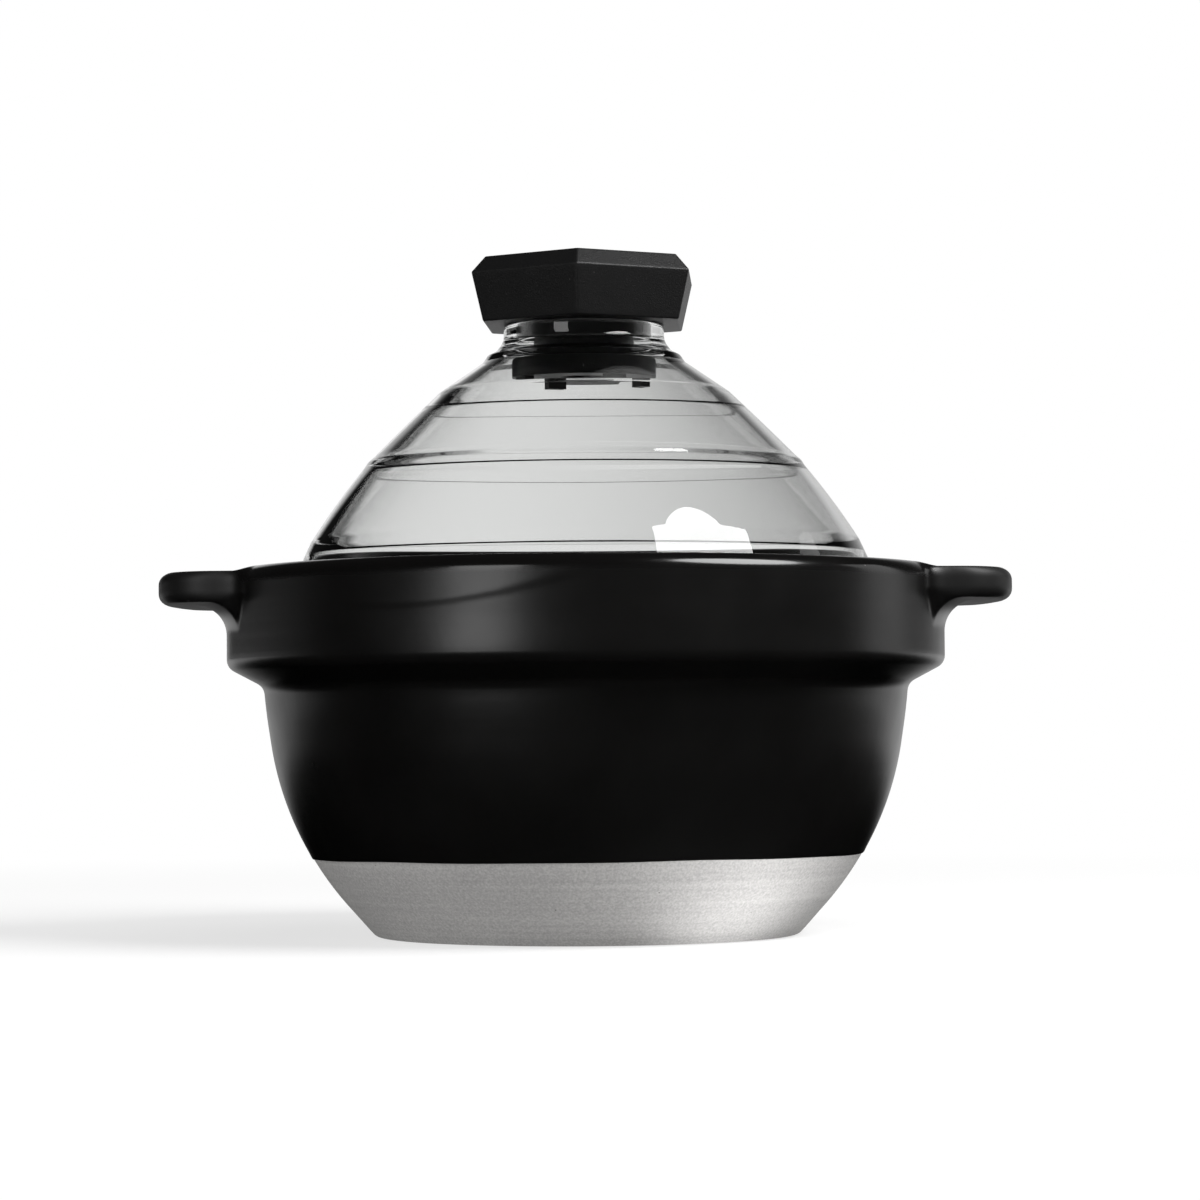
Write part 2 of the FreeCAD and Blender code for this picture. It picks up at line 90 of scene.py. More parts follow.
def rounded(corners, closed=False):
    """Points (mm) along an outline of corners eased by arcs, whose lines may bow out to their right."""
    arcs = []
    for index, corner in enumerate(corners):
        here = Vector((corner.radius, corner.height))
        if not corner.ease:
            arcs.append([here])
            continue
        before = corners[index - 1]
        after = corners[(index + 1) % len(corners)]
        back = (Vector((before.radius, before.height)) - here).normalized()
        ahead = (Vector((after.radius, after.height)) - here).normalized()
        half = back.angle(ahead) / 2
        turn = math.pi - 2 * half
        centre = here + (back + ahead).normalized() * (corner.ease / math.sin(half))
        spoke = here + back * (corner.ease / math.tan(half)) - centre
        way = math.copysign(turn, ahead.cross(back))
        steps = math.ceil(max(turn / ARC_STEP, corner.ease * turn / ARC_CHORD))
        arcs.append([centre + Matrix.Rotation(way * step / steps, 2) @ spoke for step in range(steps + 1)])
    points = []
    for index, arc in enumerate(arcs):
        points += arc
        if index == len(arcs) - 1 and not closed:
            break
        start, end = arc[-1], arcs[(index + 1) % len(arcs)][0]
        out = Vector((end.y - start.y, start.x - end.x)).normalized()
        rows = corners[index].rows
        for row in range(1, rows):
            share = row / rows
            points.append(start.lerp(end, share) + out * (corners[index].bow * 4 * share * (1 - share)))
    return points


def inset_line(first, second, depth):
    """Two points (mm) of the line between two corners, moved in towards the axis."""
    start, end = Vector((first.radius, first.height, 0)), Vector((second.radius, second.height, 0))
    way = (end - start).normalized()
    inward = Vector((-way.y, way.x, 0)) * depth
    return start + inward, end + inward


outside = rounded([
    Corner(foot_ring_inside, 0),
    foot,
    knee,
    cove,
    Corner(collar_radius, collar_bottom, collar_bottom_round),
    Corner(collar_radius, ledge_height),
])
side_line = inset_line(knee, cove, bowl_wall)
base_line = inset_line(foot, knee, bowl_wall)
ledge_line = Vector((0, ledge_height, 0)), Vector((1, ledge_height, 0))
floor_line = Vector((0, floor_height, 0)), Vector((1, floor_height, 0))
mouth = intersect_line_line(*side_line, *ledge_line)[0]
inner_knee = intersect_line_line(*side_line, *base_line)[0]
floor_corner = intersect_line_line(*base_line, *floor_line)[0]
# The upper side of the rim and the ears makes the crest itself, so the inner side starts two points later.
crest_points = 2
inside = rounded([
    Corner(collar_radius - rim_round, rim_height),
    Corner(collar_radius - collar_wall, rim_height, rim_round, rows=8),
    Corner(collar_radius - collar_wall, ledge_height, ledge_round, rows=3),
    Corner(mouth.x, mouth.y, ledge_round, rows=10),
    Corner(inner_knee.x, inner_knee.y, inner_knee_round, rows=3),
    Corner(floor_corner.x, floor_corner.y, floor_round, rows=8),
    Corner(0, floor_height),
])[crest_points:]


def smooth(share):
    """A rise from 0 to 1 that starts and ends level."""
    share = min(max(share, 0), 1)
    return share * share * (3 - 2 * share)


upright_from = 62.0
upright_inset = 0.45


def upright(height):
    """How far (mm) the bowl's side is drawn in under the collar, where it grows steeper."""
    rise = min(max((height - upright_from) / (cove.height - upright_from), 0), 1)
    return upright_inset * rise * rise * smooth((collar_bottom - height) / (collar_bottom - cove.height))


def side_radius(height):
    """The pot's outer radius (mm) at a height between its foot and its collar."""
    for low, high in zip(outside, outside[1:]):
        if low.y <= height <= high.y and low.y < high.y:
            return low.x + (high.x - low.x) * (height - low.y) / (high.y - low.y) - upright(height)
    return collar_radius


dip_line = 23.5
dip_askew = 0.75
dip_toward = math.radians(-62)
Creep = namedtuple("Creep", "height waves start")
creeps = [Creep(0.12, 5, 1), Creep(0.07, 11, 2)]
glaze_coat = 0.3
glaze_coat_pace = 3
glaze_bead = 0.12
glaze_lip_foot, glaze_lip_crest, glaze_lip_top = 0.06, 0.45, 1.1
glaze_start = 2.0


def dip_height(angle):
    """Where the glaze ends (mm): the pot was dipped a little askew, and the glaze crept in waves."""
    creep = sum(wave.height * math.sin(wave.waves * angle + wave.start) for wave in creeps)
    return dip_line + dip_askew * math.cos(angle - dip_toward) + creep


ear_reach = ear_top.x - collar_radius
ear_half_width = 40.0
ear_corner_round = 15.0
ear_root_round = 9.0
ear_thickness = 9.0
ear_edge_round = 3.2
ear_edge_start = ear_top.z - ear_thickness + ear_edge_round
ear_least_drop = 5.0
ear_least_turn = 1e-4
ear_blend = 5.0
underside_rows = 40
edge_rows = 3
round_rows = 9
top_rows = 10


def ear_reach_at(angle):
    """How far (mm) an ear stands out from the collar in a direction, seen from above."""
    turned = angle % math.pi
    turned = min(turned, math.pi - turned)
    tip = collar_radius + ear_reach
    corner_spoke = tip - ear_corner_round
    corner_angle = math.asin((ear_half_width - ear_corner_round) / corner_spoke)
    root_spoke = collar_radius + ear_root_round
    root_angle = math.asin((ear_half_width + ear_root_round) / root_spoke)
    if turned <= corner_angle:
        return ear_reach
    if turned >= root_angle:
        return 0
    if turned <= math.atan2(ear_half_width, corner_spoke * math.cos(corner_angle)):
        off = turned - corner_angle
        chord = math.sqrt(ear_corner_round ** 2 - (corner_spoke * math.sin(off)) ** 2)
        return corner_spoke * math.cos(off) + chord - collar_radius
    if turned <= math.atan2(ear_half_width, root_spoke * math.cos(root_angle)):
        return ear_half_width / math.sin(turned) - collar_radius
    off = root_angle - turned
    chord = math.sqrt(ear_root_round ** 2 - (root_spoke * math.sin(off)) ** 2)
    return root_spoke * math.cos(off) - chord - collar_radius


def ear_underside(reach):
    """The collar's wall, the ear's hollow root and its lower edge, evenly divided, from the ledge upwards."""
    bend = ear_root_round + ear_edge_round
    drop = max(bend * math.sin(math.acos(1 - min(reach / bend, 1))), ear_least_drop)
    turn = max(2 * math.atan2(min(reach, bend), drop), ear_least_turn)
    root = drop / math.sin(turn) * ear_root_round / bend
    edge = drop / math.sin(turn) * ear_edge_round / bend
    root_start = ear_edge_start - drop
    wall = root_start - ledge_height
    shelf = max(reach - bend, 0)
    lengths = wall, root * turn, shelf, edge * turn
    points = []
    for row in range(1, underside_rows + 1):
        along = sum(lengths) * row / underside_rows
        if along <= lengths[0]:
            points.append(Vector((collar_radius, ledge_height + along)))
            continue
        along -= lengths[0]
        if along <= lengths[1]:
            bent = along / root
            out = collar_radius + root * (1 - math.cos(bent))
            points.append(Vector((out, root_start + root * math.sin(bent))))
            continue
        along -= lengths[1]
        if along <= shelf:
            out = collar_radius + root * (1 - math.cos(turn)) + along
            points.append(Vector((out, root_start + root * math.sin(turn))))
            continue
        bent = max(turn - (along - shelf) / edge, 0)
        out = collar_radius + reach - edge * (1 - math.cos(bent))
        points.append(Vector((out, ear_edge_start - edge * math.sin(bent))))
    return points


def ear_upper_side(reach):
    """The ear's edge, its rounded upper corner and its top, in to the crest of the rim."""
    crest = collar_radius - rim_round
    blunt = smooth(reach / ear_blend)
    sink = (rim_height - ear_top.z) * blunt
    corner_round = rim_round + (ear_edge_round - rim_round) * blunt
    centre = Vector((collar_radius + reach - corner_round, rim_height - sink - corner_round))
    fall = min(centre.x - crest, ear_blend) or ear_blend
    points = []
    for row in range(1, edge_rows):
        height = ear_edge_start + (centre.y - ear_edge_start) * row / edge_rows
        points.append(Vector((collar_radius + reach, height)))
    for row in range(round_rows + 1):
        bent = math.pi / 2 * row / round_rows
        points.append(centre + corner_round * Vector((math.cos(bent), math.sin(bent))))
    inner = inside[0].x
    for row in range(1, top_rows):
        out = centre.x + (inner - centre.x) * row / top_rows
        points.append(Vector((out, rim_height - sink * smooth((out - crest) / fall))))
    return points


front = 270.0
mark_turn = -13.0
mark_height = 99.4
mark_slope = 0.35
mark_curl = 0.01
mark_step = 0.2
mark_step_rise = 2.5
mark_lean = 0.07
mark_from, mark_to = -36.0, 2.0
mark_fade = 14.0


def press_mark(angle, point):
    """How far (mm) the potter's hand pressed in the wet collar at a point: a slanting step, front left."""
    across = math.degrees(angle) - front
    off = across - mark_turn
    over = point.y - (mark_height + mark_slope * off + mark_curl * off * off)
    pressed = mark_step * (1 - smooth(1 + over / mark_step_rise)) + mark_lean * max(over, 0)
    around = smooth(0.5 + (across - mark_from) / mark_fade) * smooth(0.5 - (across - mark_to) / mark_fade)
    outer = smooth((point.x - collar_radius + rim_round) / rim_round)
    return pressed * around * outer * smooth((point.y - ledge_height) / ear_root_round)


foot_edge = [point for point in outside if point.y < 2 * foot.ease and point.x < knee.radius][:-1]
foot_top = foot_edge[-1].y
cove_start = cove.height - 2 * cove.ease / 3
collar_foot = [Vector((point.x - upright(point.y), point.y)) for point in outside if point.y > cove_start]
underneath = [Vector((0, foot_recess)), Vector((foot_ring_inside * 0.5, foot_recess)),
              Vector((foot_ring_inside - foot_recess, foot_recess))] + foot_edge


def pot_column(angle):
    """The pot's whole outline (mm) in one direction, from under its foot to the middle of its floor."""
    dip = dip_height(angle)
    clay = []
    for row in range(1, clay_rows + 1):
        share = row / clay_rows
        height = foot_top + (dip - foot_top) * share
        clay.append(Vector((side_radius(height) - glaze_coat * smooth(glaze_coat_pace * share), height)))
    lip_crest, lip_top = dip + glaze_lip_crest, dip + glaze_lip_top
    lip = [Vector((side_radius(dip) + glaze_bead / 2, dip + glaze_lip_foot)),
           Vector((side_radius(lip_crest) + glaze_bead, lip_crest)),
           Vector((side_radius(lip_top) + glaze_bead / 2, lip_top))]
    start = dip + glaze_start
    glaze = []
    for row in range(glaze_rows):
        height = start + (cove_start - start) * row / glaze_rows
        glaze.append(Vector((side_radius(height), height)))
    reach = ear_reach_at(angle)
    collar = ear_underside(reach) + ear_upper_side(reach)
    collar = [Vector((point.x - press_mark(angle, point), point.y)) for point in collar]
    return underneath + clay + lip + glaze + collar_foot + collar + inside


ear_span = 30
ear_step = 0.5
plain_step = 2.0


def pot_angles():
    """The directions of the pot's columns, closer together over the ears."""
    angles = []
    degrees = 0.0
    while degrees < 360:
        angles.append(math.radians(degrees))
        from_ear = min(degrees % 180, 180 - degrees % 180)
        degrees += ear_step if from_ear < ear_span else plain_step
    return angles


def new_piece(name, vertices, faces, *materials):
    """A smooth object from vertices in metres, linked to the scene."""
    mesh = bpy.data.meshes.new(name)
    mesh.from_pydata(vertices, [], faces)
    for material in materials:
        mesh.materials.append(material)
    mesh.shade_smooth()
    piece = bpy.data.objects.new(name, mesh)
    bpy.context.scene.collection.objects.link(piece)
    return piece


class Socket:
    """One output of a node tree: sums on it add Math nodes, and node() adds any other node."""

    def __init__(self, tree, socket=None):
        self.tree = tree
        self.socket = socket

    def node(self, kind, settings, inputs, output=0):
        made = self.tree.nodes.new(kind)
        for name, value in settings.items():
            setattr(made, name, value)
        for key, value in inputs.items():
            if isinstance(value, Socket):
                self.tree.links.new(value.socket, made.inputs[key])
            else:
                made.inputs[key].default_value = value
        return Socket(self.tree, made.outputs[output])

    def also(self, output):
        return Socket(self.tree, self.socket.node.outputs[output])

    def into(self, node, key):
        self.tree.links.new(self.socket, node.inputs[key])

    def maths(self, operation, first, second):
        return self.node("ShaderNodeMath", {"operation": operation}, {0: first, 1: second})

    def __add__(self, other):
        return self.maths("ADD", self, other)

    def __radd__(self, other):
        return self.maths("ADD", other, self)

    def __sub__(self, other):
        return self.maths("SUBTRACT", self, other)

    def __rsub__(self, other):
        return self.maths("SUBTRACT", other, self)

    def __mul__(self, other):
        return self.maths("MULTIPLY", self, other)

    def __rmul__(self, other):
        return self.maths("MULTIPLY", other, self)

    def fade(self, low, high):
        """0 below low, 1 above high, eased between; low may be the larger."""
        return self.node("ShaderNodeMapRange", {"interpolation_type": "SMOOTHSTEP"},
                         {"Value": self, "From Min": low, "From Max": high})

    def noise(self, scale, detail=2.0):
        return self.node("ShaderNodeTexNoise", {}, {"Vector": self, "Scale": scale, "Detail": detail})

    def stretched(self, x, y, z):
        return self.node("ShaderNodeMapping", {}, {"Vector": self, "Scale": (x, y, z)})

    def specks(self, spacing, size, share):
        """Round specks of a size, one to a spacing (m), in a share of the places."""
        dots = self.node("ShaderNodeTexVoronoi", {}, {"Vector": self, "Scale": 1 / spacing}, "Distance")
        chosen = self.noise(0.31 / spacing, 0.0).fade(0.5, 0.5 + share)
        return dots.fade(size / spacing, 0.6 * size / spacing) * chosen

    def mixed(self, first, second):
        return self.node("ShaderNodeMix", {"data_type": "RGBA"}, {0: self, 6: first, 7: second}, 2)

    def bump(self, depth):
        return self.node("ShaderNodeBump", {}, {"Strength": 1.0, "Distance": depth, "Height": self})


def new_material(name, constants):
    """A material, its Principled shader with plain values set, and its Object coordinates."""
    material = bpy.data.materials.new(name)
    material.use_nodes = True
    shader = material.node_tree.nodes["Principled BSDF"]
    for key, value in constants.items():
        shader.inputs[key].default_value = value
    place = Socket(material.node_tree).node("ShaderNodeTexCoord", {}, {}, "Object")
    return material, shader, place


glaze_black = (0.0022, 0.0021, 0.0021, 1)
glaze_brown = (0.0046, 0.0043, 0.0041, 1)
dust_grey = (0.16, 0.155, 0.15, 1)
dust_cover = 0.7
glaze_roughness = 0.25
glaze_unevenness = 0.1
crest_polish = 0.16
polish_from, polish_to = rim_height - 1.2 * rim_round, rim_height - 0.6 * rim_round
polish_inside, polish_outside = collar_radius + 0.2, collar_radius + 2.0
ear_dryness = 0.22
dry_from, dry_to = collar_radius + 0.5, collar_radius + 4.0
peel_share = 0.2
black_glaze, shader, place = new_material("black_glaze", {"IOR": 1.5})
clouds = place.noise(scale=34.0, detail=4.0)
dust = place.specks(spacing=0.007, size=0.00022, share=0.12)
(dust * dust_cover).mixed(clouds.mixed(glaze_black, glaze_brown), dust_grey).into(shader, "Base Color")
level = place.node("ShaderNodeSeparateXYZ", {}, {0: place}, "Z")
flat = place.stretched(1.0, 1.0, 0.0)
spoke = flat.node("ShaderNodeVectorMath", {"operation": "LENGTH"}, {0: flat}, "Value")
crest = level.fade(polish_from * MM, polish_to * MM) * spoke.fade(polish_outside * MM, polish_inside * MM)
ear = spoke.fade(dry_from * MM, dry_to * MM)
uneven = place.noise(scale=70.0, detail=3.0)
roughness = glaze_roughness + glaze_unevenness * uneven - crest_polish * crest + ear_dryness * ear
roughness.into(shader, "Roughness")
peel = place.noise(scale=420.0)
throwing = place.stretched(5.0, 5.0, 150.0).noise(scale=1.0)
(peel * peel_share + throwing).bump(depth=0.00006).into(shader, "Normal")

clay_pale = (0.35, 0.344, 0.336, 1)
clay_grey = (0.225, 0.222, 0.219, 1)
iron_dark = (0.09, 0.085, 0.08, 1)
mottle_share, turning_share, grain_share = 0.2, 0.25, 0.55
grain_relief = 0.6
bare_clay, shader, place = new_material("bare_clay", {"IOR": 1.45, "Roughness": 0.85})
grain = place.noise(scale=1400.0, detail=3.0)
turning = place.stretched(6.0, 6.0, 700.0).noise(scale=1.0, detail=3.0)
mottle = place.noise(scale=22.0, detail=3.0)
iron = place.specks(spacing=0.0026, size=0.00025, share=0.3)
tone = (mottle * mottle_share + turning * turning_share + grain * grain_share).fade(0.3, 0.7)
iron.mixed(tone.mixed(clay_grey, clay_pale), iron_dark).into(shader, "Base Color")
(grain * grain_relief + turning).bump(depth=0.00012).into(shader, "Normal")

angles = pot_angles()
columns = [pot_column(angle) for angle in angles]
row_count = len(columns[0])
ring_rows = range(1, row_count - 1)
vertices = [(0, 0, foot_recess * MM)]
for angle, column in zip(angles, columns):
    around = Vector((math.cos(angle), math.sin(angle)))
    vertices += [(around.x * column[row].x * MM, around.y * column[row].x * MM, column[row].y * MM)
                 for row in ring_rows]
vertices.append((0, 0, floor_height * MM))
faces = []
face_rows = []
ring_count = len(ring_rows)
for index in range(len(angles)):
    here = 1 + index * ring_count
    beside = 1 + (index + 1) % len(angles) * ring_count
    faces.append((0, beside, here))
    face_rows.append(0)
    for row in range(ring_count - 1):
        faces.append((here + row, beside + row, beside + row + 1, here + row + 1))
        face_rows.append(row + 1)
    faces.append((len(vertices) - 1, here + ring_count - 1, beside + ring_count - 1))
    face_rows.append(row_count)
pot = new_piece("pot", vertices, faces, black_glaze, bare_clay)
last_clay_row = len(underneath) + clay_rows - 1
for polygon, row in zip(pot.data.polygons, face_rows):
    polygon.material_index = 1 if row < last_clay_row else 0
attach(pot, "pot")
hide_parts("pot_body", "left_handle", "right_handle")


# Glass lid: heat-proof glass pressed in one piece, four cones under a round neck with a small bead at its
# foot. The plunger leaves a crisp ledge inside under each ring, and outside the mould shows as a faint ridge
# on the middle one. The thick ground edge rests loose on the pot's ledge.

lid_low, lid_high = [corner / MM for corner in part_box("lid_glass")]
lid_sides = 272
bead_height = 5.0
bead_top = lid_low.z + bead_height
bead_slope = 1.6
bead_width = 5.0
bead_round = 1.0
ring_round = 6.0
ridge_below, ridge_above = 1.3, 1.5
ridge_lift = 0.2
ledge_width = 1.5
ledge_ease = 0.3
tier_rows = 20
neck_radius = 24.1
neck_wall = 3.8
neck_edge_round = 1.0
bore_radius = neck_radius - neck_wall
Ring = namedtuple("Ring", "radius rise bow ridge ledge_out ledge_drop")
rings = [Ring(81.9, 26.7, 0.4, 0.0, -0.8, 4.7), Ring(65.0, 23.3, 0.1, 0.055, -0.8, 4.7),
         Ring(43.8, 20.9, 0.0, 0.0, 2.1, 7.4)]
lower_bow = 0.2
shoulder_radius = 30.6
shoulder_rise = 9.4
inner_shoulder_inset, inner_shoulder_drop = 5.3, 1.5
inner_shoulder_round = 2.0
flare_rise = 4.4
flare_lift = 2.0
flare_round = 5.0
throat_drop = 2.0
throat_round = 3.0
NeckBead = namedtuple("NeckBead", "inset rise ease")
neck_bead = [NeckBead(0.1, -0.2, 0.9), NeckBead(1.6, 2.0, 0.9), NeckBead(4.2, 3.3, 1.2)]

bead_corner = Corner(lid_high.x - bead_slope, bead_top + bead_slope, bead_round, lower_bow, tier_rows)
bends = [bead_corner]
for ring in rings:
    bends.append(Corner(ring.radius, bends[-1].height + ring.rise, ring_round, ring.bow, tier_rows))
top_ring = bends[-1]
inner_shoulder = Corner(top_ring.radius - inner_shoulder_inset, top_ring.height - inner_shoulder_drop,
                        inner_shoulder_round, rows=tier_rows)
shoulder = Corner(shoulder_radius, top_ring.height + shoulder_rise)
bends.append(shoulder)
flare_top = shoulder.height + flare_rise
throat = Corner(bore_radius, flare_top - throat_drop, throat_round, rows=tier_rows)

lid_outside = [bead_corner]
plunger = [Corner(lid_high.x - bead_width, lid_low.z, bead_round, rows=4)]
for ring, below, bend, above in zip(rings, bends, bends[1:], bends[2:]):
    spread_below = (below.radius - bend.radius) / (bend.height - below.height) * ridge_below
    spread_above = (bend.radius - above.radius) / (above.height - bend.height) * ridge_above
    if ring.ridge:
        lid_outside.append(Corner(bend.radius + spread_below, bend.height - ridge_below, ring_round))
        lid_outside.append(Corner(bend.radius + ring.ridge, bend.height + ridge_lift, ring_round / 2))
        lid_outside.append(Corner(bend.radius - spread_above, bend.height + ridge_above, ring_round, ring.bow,
                                  tier_rows))
    else:
        lid_outside.append(bend)
    ledge_radius, ledge_level = bend.radius + ring.ledge_out, bend.height - ring.ledge_drop
    plunger.append(Corner(ledge_radius, ledge_level, ledge_ease, -below.bow, tier_rows))
    plunger.append(Corner(ledge_radius - ledge_width, ledge_level, ledge_ease, rows=4))
neck_foot = [Corner(shoulder.radius - bead.inset, shoulder.height + bead.rise, bead.ease, rows=2)
             for bead in neck_bead]
lid_outline = rounded([
    Corner(lid_high.x, lid_low.z, bead_round, rows=5),
    Corner(lid_high.x, bead_top, bead_round, rows=3),
    *lid_outside,
    *neck_foot,
    Corner(neck_radius, flare_top + flare_lift, flare_round, rows=2),
    Corner(neck_radius, lid_high.z, neck_edge_round, rows=4),
    Corner(bore_radius, lid_high.z, neck_edge_round, rows=10),
    throat,
    inner_shoulder,
    *reversed(plunger),
], closed=True)


def add_lathe(tree, group):
    """Nodes that turn the group's outline round the Z axis, as a smooth closed skin."""
    profile = tree.node("GeometryNodeMeshToCurve", {}, {"Mesh": group})
    path = tree.node("GeometryNodeCurvePrimitiveCircle", {}, {"Resolution": group.also("Sides"),
                                                               "Radius": group.also("Path Radius")})
    skin = tree.node("GeometryNodeCurveToMesh", {}, {"Curve": path, "Profile Curve": profile})
    outward = tree.node("GeometryNodeFlipFaces", {}, {"Mesh": skin})
    return tree.node("GeometryNodeSetShadeSmooth", {}, {"Geometry": outward})


def new_tree(name, inputs):
    """A Geometry Nodes tree with named inputs, and the sockets that its nodes start from."""
    group = bpy.data.node_groups.new(name, "GeometryNodeTree")
    group.interface.new_socket("Outline", in_out="INPUT", socket_type="NodeSocketGeometry")
    for label, kind in inputs.items():
        group.interface.new_socket(label, in_out="INPUT", socket_type=kind)
    group.interface.new_socket("Piece", in_out="OUTPUT", socket_type="NodeSocketGeometry")
    tree = Socket(group)
    return tree, tree.node("NodeGroupInput", {}, {}, "Outline")


def end_tree(tree, group, geometry):
    """Closes a tree with Realize Instances, Set Material and its output."""
    whole = tree.node("GeometryNodeRealizeInstances", {}, {"Geometry": geometry})
    material = group.also("Material")
    painted = tree.node("GeometryNodeSetMaterial", {}, {"Geometry": whole, "Material": material})
    painted.into(tree.tree.nodes.new("NodeGroupOutput"), "Piece")


def turned_piece(name, outline, tree, values):
    """The mesh that a tree makes from an outline (mm), as a plain object."""
    radii = [point.x for point in outline]
    path_radius = (min(radii) + max(radii)) / 2
    mesh = bpy.data.meshes.new(name)
    count = len(outline)
    mesh.from_pydata([((point.x - path_radius) * MM, -point.y * MM, 0) for point in outline],
                     [(index, (index + 1) % count) for index in range(count)], [])
    piece = bpy.data.objects.new(name, mesh)
    bpy.context.scene.collection.objects.link(piece)
    modifier = piece.modifiers.new(name, "NODES")
    modifier.node_group = tree.tree
    values = {"Path Radius": path_radius * MM, **values}
    for item in tree.tree.interface.items_tree:
        if item.in_out == "INPUT" and item.name in values:
            modifier[item.identifier] = values[item.name]
    shown = piece.evaluated_get(bpy.context.evaluated_depsgraph_get())
    made = bpy.data.meshes.new_from_object(shown)
    piece.modifiers.remove(modifier)
    piece.data = made
    bpy.data.meshes.remove(mesh)
    return piece


clear_glass, shader, place = new_material("clear_glass", {
    "Base Color": (0.90, 0.905, 0.90, 1), "Roughness": 0.0, "IOR": 1.47, "Transmission Weight": 1.0,
})
lid_tree, group = new_tree("turned_glass", {
    "Sides": "NodeSocketInt", "Path Radius": "NodeSocketFloat", "Material": "NodeSocketMaterial",
})
end_tree(lid_tree, group, add_lathe(lid_tree, group))
lid = turned_piece("lid", lid_outline, lid_tree, {"Sides": lid_sides, "Material": clear_glass})
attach(lid, "lid")
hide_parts("lid_glass")


# Vent plug: black silicone moulded in one piece and pushed through the glass neck. Its waist lets the lip
# snap under the glass, four tabs below the lip show which way it goes in, and its post carries the knob.

plug_low, plug_high = [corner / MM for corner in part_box("vent_plug")]
neck_top = lid_high.z
plug_sides = 96
plug_gap = 0.08
plug_seat = bore_radius - plug_gap
plug_waist = 15.0
plug_lip = 21.6
plug_post = 14.0
plug_bore = 7.0
plug_bore_ease = 0.3
plug_ease = 0.6
plug_crisp = 0.2
seat_depth = 6.0
seat_bottom = neck_top - seat_depth
waist_depth = 4.4
lip_top = seat_bottom - waist_depth
lip_depth = 8.2
lip_slope = 1.6
lip_bottom = lip_top - lip_depth
pocket_radius = 10.08
pocket_depth = 5.0
pocket_floor = plug_high.z - pocket_depth
tab_size = (3.0, 6.0, 2.4)
tab_turn = math.radians(27)
tab_inset = 0.6
tab_middle = plug_lip - tab_inset - tab_size[0] / 2
tab_count = 4

plug_outline = rounded([
    Corner(plug_bore, lip_bottom, plug_bore_ease, rows=6),
    Corner(plug_lip, lip_bottom, plug_ease, rows=4),
    Corner(plug_lip, lip_top - lip_slope, plug_ease, rows=5),
    Corner(plug_waist, lip_top, plug_ease, rows=4),
    Corner(plug_waist, seat_bottom, plug_ease, rows=4),
    Corner(plug_seat, seat_bottom, plug_ease, rows=4),
    Corner(plug_seat, neck_top, plug_ease, rows=4),
    Corner(plug_post, neck_top, plug_crisp, rows=4),
    Corner(plug_post, plug_high.z, plug_ease, rows=3),
    Corner(pocket_radius, plug_high.z, plug_crisp, rows=3),
    Corner(pocket_radius, pocket_floor, plug_crisp, rows=3),
    Corner(plug_bore, pocket_floor, plug_crisp, rows=8),
], closed=True)

silicone_black = (0.0022, 0.0022, 0.0023, 1)
silicone_worn = (0.0086, 0.0086, 0.0088, 1)
silicone_roughness = 0.38
silicone_unevenness = 0.14
bloom_share = 0.5
black_silicone, shader, place = new_material("black_silicone", {"IOR": 1.43})
grain = place.noise(scale=2600.0, detail=2.0)
bloom = place.noise(scale=45.0, detail=3.0)
wear = bloom * bloom_share + grain * (1 - bloom_share)
lint = place.specks(spacing=0.0034, size=0.0002, share=0.22)
lint.mixed(wear.mixed(silicone_black, silicone_worn), dust_grey).into(shader, "Base Color")
(silicone_roughness + silicone_unevenness * grain).into(shader, "Roughness")
grain.bump(depth=0.00011).into(shader, "Normal")

plug_tree, group = new_tree("vent_plug", {
    "Sides": "NodeSocketInt", "Path Radius": "NodeSocketFloat", "Material": "NodeSocketMaterial",
    "Tab Count": "NodeSocketInt", "Tab Radius": "NodeSocketFloat", "Tab Size": "NodeSocketVector",
    "Tab Height": "NodeSocketFloat", "Tab Turn": "NodeSocketFloat",
})
block = plug_tree.node("GeometryNodeMeshCube", {}, {"Size": group.also("Tab Size")})
places = plug_tree.node("GeometryNodeMeshCircle", {}, {"Vertices": group.also("Tab Count"),
                                                       "Radius": group.also("Tab Radius")})
number = plug_tree.node("GeometryNodeInputIndex", {}, {})
share = plug_tree.node("ShaderNodeMath", {"operation": "DIVIDE"}, {0: number, 1: group.also("Tab Count")})
facing = plug_tree.node("ShaderNodeCombineXYZ", {}, {"Z": share * math.tau})
tabs = plug_tree.node("GeometryNodeInstanceOnPoints", {}, {
    "Points": places, "Instance": block, "Rotation": facing,
})
lift = plug_tree.node("ShaderNodeCombineXYZ", {}, {"Z": group.also("Tab Height")})
turn = plug_tree.node("ShaderNodeCombineXYZ", {}, {"Z": group.also("Tab Turn")})
ring = plug_tree.node("GeometryNodeTransform", {}, {"Geometry": tabs, "Translation": lift, "Rotation": turn})
both = plug_tree.tree.nodes.new("GeometryNodeJoinGeometry")
ring.into(both, "Geometry")
add_lathe(plug_tree, group).into(both, "Geometry")
end_tree(plug_tree, group, Socket(plug_tree.tree, both.outputs["Geometry"]))
plug = turned_piece("plug", plug_outline, plug_tree, {
    "Sides": plug_sides, "Material": black_silicone, "Tab Count": tab_count, "Tab Radius": tab_middle * MM,
    "Tab Size": [side * MM for side in tab_size], "Tab Turn": tab_turn,
    "Tab Height": (plug_low.z + tab_size[2] / 2) * MM,
})
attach(plug, "plug")
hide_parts("vent_plug")


# Steam whistle: a pressed stainless steel cup with a cover, a small hole in each, pushed into the plug's
# post. It sits out of sight under the knob, and steam on its way out sounds it.

